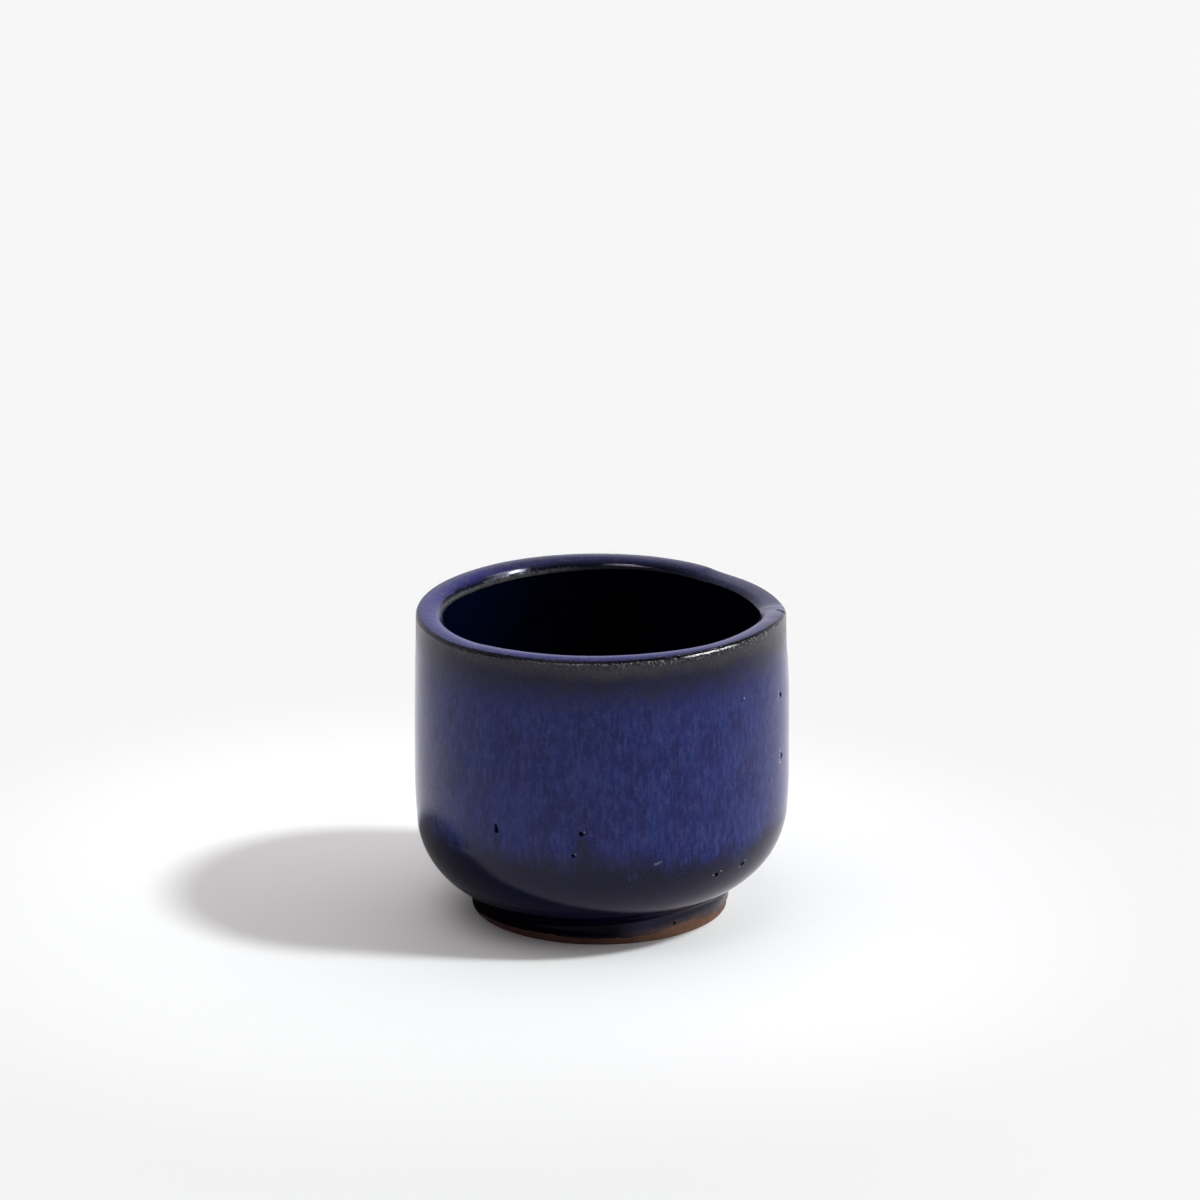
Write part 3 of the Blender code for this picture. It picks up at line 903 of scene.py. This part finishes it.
def lip_glaze(glaze):
    """Violet-blue over the lip, greyer towards the back and its edges, near black down its inner bevel."""
    material, web, shader, place = new_material("violet_lip_glaze", 1.35)
    shader.inputs["Specular Tint"].default_value = rgba(glaze.sheen)
    x, y, _ = web.split(place)
    radius = web.math("SQRT", x * x + y * y)
    mottle = web.noise(place, 420.0, detail=4.0, roughness=0.65)
    grain = web.noise(place, 1500.0, detail=4.0, roughness=0.7, shift=5.0)
    clouds = web.noise(place, 90.0, shift=17.0)
    dots = web.noise(place, 2300.0, roughness=0.6, shift=43.0)
    bevel_mark = mark_of(web, "bevel")
    pale_mark = mark_of(web, "pale")

    tone = mottle * 0.35 + clouds * 0.25 + grain * 0.40 + (y * 0.20 + x * 0.10) / CREST_RADIUS
    outer = web.smooth(radius.stir(mottle, 0.0014).stir(grain, 0.0012), 0.0353, 0.0366)
    colour = web.mix(web.smooth(tone, 0.35, 0.72) + outer * 0.8, glaze.lip, glaze.lip_grey)
    colour = web.mix(((grain - 0.5) * 2.0).stir(mottle, 1.0) + 0.04, colour, glaze.lip_pale)
    fringe = web.smooth(radius, 0.0358, 0.0367)
    colour = web.mix(web.smooth(dots + fringe * 0.12, 0.60, 0.67) * fringe * 0.8, colour, glaze.edge)
    bevel = web.smooth(bevel_mark.stir(mottle, 0.4).stir(grain, 0.3), 0.25, 0.95)
    colour = web.mix(bevel * (1 - web.smooth(x, 0.012, 0.026) * 0.7), colour, glaze.liner)
    worn = web.smooth(mark_of(web, "worn").stir(grain, 1.2).stir(mottle, 0.6), 0.30, 0.60)
    colour = web.mix(worn, colour, glaze.edge)
    pale = web.smooth(pale_mark.stir(grain, 1.5).stir(mottle, 0.8), 0.42, 0.98)
    # Painted shade: the pale line dims to the right, where the lip's inside turns away from the main light.
    pale = pale * (1 - web.smooth(x, -0.014, 0.0) * 0.8) * (0.75 + (grain - 0.5) * 2.0)
    colour = web.mix(pale, colour, glaze.pale_edge)
    gloss = 0.17 + (mottle - 0.5) * 0.06 - bevel * 0.04 + pale * 0.10
    height = mottle * 0.4 + grain * 0.25 + worn * grain * 1.2 + pale * grain * 0.4
    dress(web, shader, colour, gloss, height, 0.14, 0.0004)

    # Dark gaps: painted shade in a line inside the lip at the back left, and the broken line on its edge
    # to the right.
    painted_groove_shade = web.smooth(bevel_mark.stir(mottle, 0.5), 0.62, 0.76)
    painted_groove_shade = painted_groove_shade * web.fade(pale_mark.stir(grain, 0.5), 0.10, 0.50)
    painted_groove_shade = painted_groove_shade * web.smooth(y - x, 0.030, 0.042) * web.fade(y, 0.028, 0.034)
    broken = web.within(x, (0.0, 0.016), (0.026, 0.033)) * web.smooth(dots, 0.40, 0.52)
    gaps = painted_groove_shade * 0.9 + worn * broken * 0.85
    hollow_out(web, shader, glaze.shade_and_break, web.math("MAXIMUM", mark_of(web, "pit"), gaps))
    return material


def liner_glaze(glaze):
    """A deep, wet-looking black-blue, a faint break at its top edge, and painted light inside on the left.
    """
    material, web, shader, place = new_material("black_blue_liner_glaze", 1.36)
    x, _, _ = web.split(place)
    clouds = web.noise(place, 160.0, detail=3.0)
    grain = web.noise(place, 2200.0, shift=4.0)
    colour = web.mix(web.smooth(clouds, 0.3, 0.7), scaled(glaze.liner, 0.5), glaze.liner)
    # Painted light: a navy glow on the left of the inside, where the main light reaches the inner wall.
    painted_light_navy = [part * more for part, more in zip(glaze.liner, (0.6, 2.2, 1.8))]
    colour = web.mix(web.smooth((0.0 - x).stir(clouds, 0.02), 0.010, 0.028) * 0.8, colour, painted_light_navy)
    pale = web.smooth(mark_of(web, "pale").stir(grain, 0.8), 0.35, 0.8)
    colour = web.mix(pale * 0.6, colour, glaze.pale_edge)
    dress(web, shader, colour, 0.05 + (clouds - 0.5) * 0.03 + pale * 0.2, clouds, 0.05, 0.0003)
    return material


def bare_clay(glaze):
    """Red-brown stoneware with grit and iron specks, painted shade on its left, and dark high in the cup."""
    material, web, shader, place = new_material("bare_stoneware", 1.45)
    x, _, z = web.split(place)
    grit = web.noise(place, 2400.0, detail=4.0, roughness=0.7)
    patches = web.noise(place, 260.0, detail=3.0, shift=9.0)
    lines = web.noise(place, 900.0, stretch=(0.15, 0.15, 3.0), shift=2.0)
    mottle = web.smooth(grit * 0.5 + patches * 0.5, 0.38, 0.64)
    colour = web.mix(mottle, scaled(glaze.clay, 0.6), glaze.clay)
    colour = web.mix(web.smooth(grit, 0.66, 0.74), colour, glaze.dark_clay_and_shade)
    # Painted shade: the clay darkens to the left, the side away from the main light; it is dark high in the
    # cup too.
    shade_and_dark_top = web.fade(x.stir(patches, 0.006), -0.004, 0.018) * 0.75
    shade_and_dark_top = web.math("MAXIMUM", shade_and_dark_top, web.smooth(z, 0.020, 0.045))
    colour = web.mix(shade_and_dark_top, colour, glaze.dark_clay_and_shade)
    dress(web, shader, colour, 0.72 + grit * 0.25, grit * 0.6 + lines * 0.4, 0.35, 0.0003)
    return material


def studio_floor_finish(studio):
    """A white floor with painted light, palest round the cup. The glaze mirrors it with painted light on the
    right and painted shade round the cup.
    """
    material, web, shader, place = new_material("studio_floor", 1.3)
    right, _, _ = web.split(place)
    reach = web.vector_math("DISTANCE", place, PAINTED_LIGHT_PATCH).output("Value")
    away = web.vector_math("LENGTH", place).output("Value")
    mirrored = behind_mirror(web)
    # Painted light: the floor is palest round the cup.
    colour = web.mix(web.smooth(reach, 0.050, 0.150), studio.painted_light_floor, studio.floor)
    # Painted light in what the glaze mirrors: the floor paler on the right.
    colour = web.mix(mirrored * web.smooth(right, 0.02, 0.15) * 0.85, colour, studio.painted_light_floor)
    # Painted shade in what the glaze mirrors: the floor darker round the cup.
    colour = web.mix(mirrored * web.fade(away, 0.034, 0.110) * 0.28, colour, (0.0, 0.0, 0.0))
    feed(web, shader, "Base Color", colour)
    shader.inputs["Roughness"].default_value = 0.9
    shader.inputs["Specular IOR Level"].default_value = 0.0
    return material


def behind_mirror(web):
    """1 for light that reaches the eye by way of a glossy surface, and 0 for the rest."""
    return web.math("MINIMUM", web.node("ShaderNodeLightPath").output("Glossy Depth"), 1.0)


def settle(piece, slot, *nodes):
    """Puts a finished piece on the cup's one body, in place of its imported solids."""
    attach(piece, "root")
    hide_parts(*nodes)


def refine_near(mesh, spots, reach, cuts):
    """Cuts the faces near each spot into finer ones, so that a pinhole there has a round edge."""
    tree = KDTree(len(spots))
    for number, spot in enumerate(spots):
        tree.insert(spot, number)
    tree.balance()
    form = bmesh.new()
    form.from_mesh(mesh)
    chosen = set()
    for face in form.faces:
        if tree.find(face.calc_center_median())[2] < reach:
            chosen.update(face.edges)
    bmesh.ops.subdivide_edges(form, edges=list(chosen), cuts=cuts, use_grid_fill=True)
    form.to_mesh(mesh)
    form.free()


def sink_pinholes(coat, finish, rays, sizes, shares):
    """Sinks a pinhole, or lays a pale mark, where each ray meets a coat."""
    bpy.context.view_layer.update()
    spots = []
    for start, way in rays:
        hit, place, _, _ = coat.ray_cast(start, way)
        if not hit:
            raise RuntimeError(f"no glaze of {coat.name} for a pinhole near {tuple(start)}")
        spots.append(place)
    mesh = bpy.data.meshes.new("pinhole_points")
    mesh.from_pydata(spots, [], [])
    add_mark(mesh, "size", sizes)
    add_mark(mesh, "share", shares)
    points = add_object("pinhole_points", mesh)
    refine_near(coat.data, spots, PINHOLE_REACH, PINHOLE_CUTS)
    depth = bpy.context.scene.cup_hand.pit_depth
    values = {"Pinholes": points, "Depth": depth, "Rim": PINHOLE_RIM, "Finish": finish}
    run_nodes(coat, shared_tree("Glaze pinholes", pinhole_tree), values)
    bpy.data.objects.remove(points)


class CUP_OT_clay(bpy.types.Operator):
    """Makes the thrown body and the foot's ring"""

    bl_idname = "cup.clay"
    bl_label = "Clay body and foot"

    def execute(self, context):
        form = context.scene.cup_form
        clay = bare_clay(context.scene.cup_glaze)
        body = turned_piece("clay_body", clay_body_rings(form), False, clay)
        settle(body, "stoneware", "thrown_body")
        foot = turned_piece("clay_foot", clay_foot_rings(form), True, clay)
        settle(foot, "stoneware", "foot_ring")
        return {"FINISHED"}


class CUP_OT_outer_glaze(bpy.types.Operator):
    """Makes the outer coat of glaze, with its pinholes"""

    bl_idname = "cup.outer_glaze"
    bl_label = "Outer glaze"

    def execute(self, context):
        form = context.scene.cup_form
        finish = outer_glaze(context.scene.cup_glaze)
        coat = turned_piece("outer_glaze_coat", outer_coat_rings(form), True, finish)
        rays = []
        for degrees, height, _, _ in PINHOLES:
            away = Vector((cos(radians(degrees)), sin(radians(degrees)), 0.0))
            rays.append((away * form.wall_radius * 2 + Vector((0, 0, height * MM)), -away))
        sink_pinholes(coat, finish, rays, [row[2] * MM for row in PINHOLES], [row[3] for row in PINHOLES])
        settle(coat, "blue_glaze", "base_glaze", "blue_glaze")
        return {"FINISHED"}


class CUP_OT_lip_glaze(bpy.types.Operator):
    """Makes the coat over the lip, with its crease"""

    bl_idname = "cup.lip_glaze"
    bl_label = "Lip glaze"

    def execute(self, context):
        form = context.scene.cup_form
        finish = lip_glaze(context.scene.cup_glaze)
        coat = turned_piece("lip_glaze_coat", lip_coat_rings(form), True, finish)
        down = Vector((0, 0, -1))
        rays = [(Vector((right * MM, back * MM, form.height * 2)), down) for right, back in LIP_CREASE]
        sink_pinholes(coat, finish, rays, [CREASE_RADIUS] * len(rays), [CREASE_SHARE] * len(rays))
        settle(coat, "lip_glaze", "lip_glaze")
        return {"FINISHED"}


class CUP_OT_liner_glaze(bpy.types.Operator):
    """Makes the coat inside the cup"""

    bl_idname = "cup.liner_glaze"
    bl_label = "Liner glaze"

    def execute(self, context):
        finish = liner_glaze(context.scene.cup_glaze)
        coat = turned_piece("liner_glaze_coat", liner_rings(context.scene.cup_form), False, finish)
        settle(coat, "liner_glaze", "liner_glaze")
        return {"FINISHED"}


class CUP_OT_studio(bpy.types.Operator):
    """Makes the floor, the light and the camera"""

    bl_idname = "cup.studio"
    bl_label = "Studio"

    def execute(self, context):
        studio = context.scene.cup_studio
        self.lay_floor(studio)
        self.light_room(context.scene, studio)
        self.hang_lamps(studio)
        self.place_camera(context.scene, studio)
        context.scene.view_settings.view_transform = "Standard"
        return {"FINISHED"}

    def lay_floor(self, studio):
        mesh = bpy.data.meshes.new("studio_floor")
        form = bmesh.new()
        bmesh.ops.create_grid(form, x_segments=FLOOR_CELLS, y_segments=FLOOR_CELLS, size=FLOOR_REACH)
        form.to_mesh(mesh)
        form.free()
        mesh.materials.append(studio_floor_finish(studio))
        floor = add_object("studio_floor", mesh)

    def light_room(self, scene, studio):
        """Soft light on the cup, a room for the glaze to mirror, and a white backdrop for the camera."""
        world = bpy.data.worlds.new("studio_world")
        world.use_nodes = True
        scene.world = world
        web = Web(world.node_tree)
        ways = web.node("ShaderNodeTexCoord").output("Generated")
        _, _, up = web.split(ways)

        def facing(way, low, high):
            return web.smooth(web.vector_math("DOT_PRODUCT", ways, way).output("Value"), low, high)

        side = facing(*SIDE_LIGHT) * web.fade(up, 0.2, 0.8)
        front = facing(*FRONT_LIGHT) * web.fade(up, 0.3, 0.7)
        soft = facing(*TOP_LIGHT) * studio.top_fill + side * studio.side_fill + front * studio.front_fill
        soft = soft * (1 + behind_mirror(web) * (studio.mirrored_fill - 1))
        tinted = {name: soft * part for name, part in zip(("Red", "Green", "Blue"), studio.fill_tint)}
        soft_colour = web.node("ShaderNodeCombineColor", {}, tinted)
        room = web.mix(facing(*CEILING), studio.mirrored_room, studio.mirrored_ceiling)
        room = web.mix(facing(*PANE), room, studio.mirrored_pane)
        room = web.mix(facing(*WINDOW), room, studio.mirrored_window)

        path = web.node("ShaderNodeLightPath")
        looked_at = path.output("Is Camera Ray")
        mirrored = web.math("MAXIMUM", path.output("Is Glossy Ray"), path.output("Is Transmission Ray"))
        shown = web.mix(looked_at, room, studio.floor)
        colour = web.mix(looked_at + mirrored, soft_colour, shown)
        feed(web, world.node_tree.nodes["Background"], "Color", colour)

    def hang_lamps(self, studio):
        self.hang_lamp(
            "key_light",
            "SUN",
            {"energy": studio.key, "angle": studio.key_spread},
            (studio.key_tint, studio.mirrored_key),
            (studio.key_azimuth, studio.key_elevation, KEY_DISTANCE),
        )
        narrow = {
            "energy": studio.lip_light,
            "spot_size": studio.lip_light_spread,
            "spot_blend": LIP_LIGHT_BLEND,
            "shadow_soft_size": studio.lip_light_size,
        }
        self.hang_lamp(
            "lip_light",
            "SPOT",
            narrow,
            (studio.lip_light_tint, studio.mirrored_lip_light),
            (studio.lip_light_azimuth, studio.lip_light_elevation, LIP_LIGHT_DISTANCE),
            LIP_LIGHT_TARGET,
        )

    def hang_lamp(self, name, kind, settings, tints, stand, target=(0.0, 0.0, 0.0)):
        """Hangs a lamp that has one tint on what it lights and another in what the glaze mirrors."""
        lamp = bpy.data.lights.new(name, kind)
        for setting, value in settings.items():
            setattr(lamp, setting, value)
        lamp.use_nodes = True
        web = Web(lamp.node_tree)
        feed(web, lamp.node_tree.nodes["Emission"], "Color", web.mix(behind_mirror(web), *tints))
        azimuth, elevation, distance = stand
        level = cos(elevation)
        direction = Vector((level * cos(azimuth), level * sin(azimuth), sin(elevation)))
        light = add_object(name, lamp)
        light.location = Vector(target) + direction * distance
        light.rotation_euler = direction.to_track_quat("Z", "Y").to_euler()

    def place_camera(self, scene, studio):
        lens = bpy.data.cameras.new("camera")
        lens.sensor_width = SENSOR_WIDTH_MM
        focal_pixels = studio.pixels_per_mm / MM * studio.camera_distance
        lens.lens = lens.sensor_width * focal_pixels / IMAGE_SIDE
        lens.clip_end = CAMERA_REACH
        camera = add_object("camera", lens)
        pitch = studio.camera_pitch
        back = studio.camera_distance * cos(pitch)
        rise = studio.camera_distance * sin(pitch)
        camera.location = (studio.side_step, -back, studio.target_height + rise)
        camera.rotation_euler = (pi / 2 - pitch, 0.0, 0.0)
        scene.camera = camera


class CUP_PT_panel(bpy.types.Panel):
    """The cup's operators and settings"""

    bl_idname = "CUP_PT_panel"
    bl_label = "Coffee cup"
    bl_space_type = "VIEW_3D"
    bl_region_type = "UI"
    bl_category = "Cup"

    def draw(self, context):
        for operator in OPERATORS:
            self.layout.operator(operator.bl_idname)
        for pointer, group in GROUPS.items():
            box = self.layout.box()
            for name in group.__annotations__:
                box.prop(getattr(context.scene, pointer), name)


OPERATORS = (CUP_OT_studio, CUP_OT_clay, CUP_OT_outer_glaze, CUP_OT_lip_glaze, CUP_OT_liner_glaze)
GROUPS = {"cup_form": CupForm, "cup_hand": CupHand, "cup_glaze": CupGlaze, "cup_studio": CupStudio}


def register():
    for item in (*GROUPS.values(), *OPERATORS, CUP_PT_panel):
        bpy.utils.register_class(item)
    for name, group in GROUPS.items():
        setattr(bpy.types.Scene, name, PointerProperty(type=group))


def unregister():
    for name in GROUPS:
        delattr(bpy.types.Scene, name)
    for item in reversed((*GROUPS.values(), *OPERATORS, CUP_PT_panel)):
        bpy.utils.unregister_class(item)


def main():
    register()
    bpy.ops.cup.studio()
    bpy.ops.cup.clay()
    bpy.ops.cup.outer_glaze()
    bpy.ops.cup.lip_glaze()
    bpy.ops.cup.liner_glaze()


if __name__ == "__main__":
    main()
